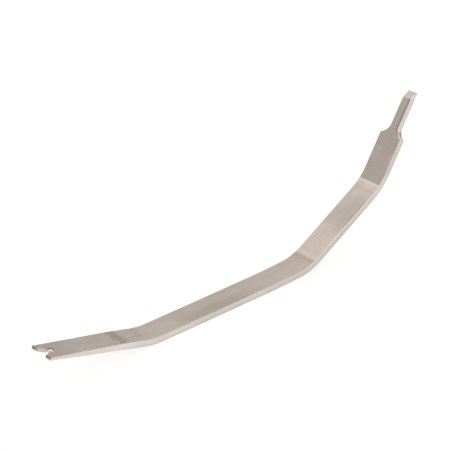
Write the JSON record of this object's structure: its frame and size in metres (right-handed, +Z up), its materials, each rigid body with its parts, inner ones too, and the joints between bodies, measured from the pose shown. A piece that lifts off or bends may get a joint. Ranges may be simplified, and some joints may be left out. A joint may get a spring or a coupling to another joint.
{
  "type": "mirror removal tool",
  "caption": "Flat steel release bar bent along its length, with a notched fork ground thin at one end and a narrow necked chisel tip at the other.",
  "frame": {"origin": "middle of the flat underside of the long middle run, the face that the bar rests on", "axes": "+X along the middle run towards the chisel tip, +Y across the width of the bar, +Z up, the way both ends are bent"},
  "size_m": [0.2174, 0.0126, 0.0679],
  "materials": {
    "steel": "satin, warm grey nickel-like plate with a faint grain along the bar"
  },
  "bodies": {
    "root": {"bar": "steel"}
  },
  "joints": []
}
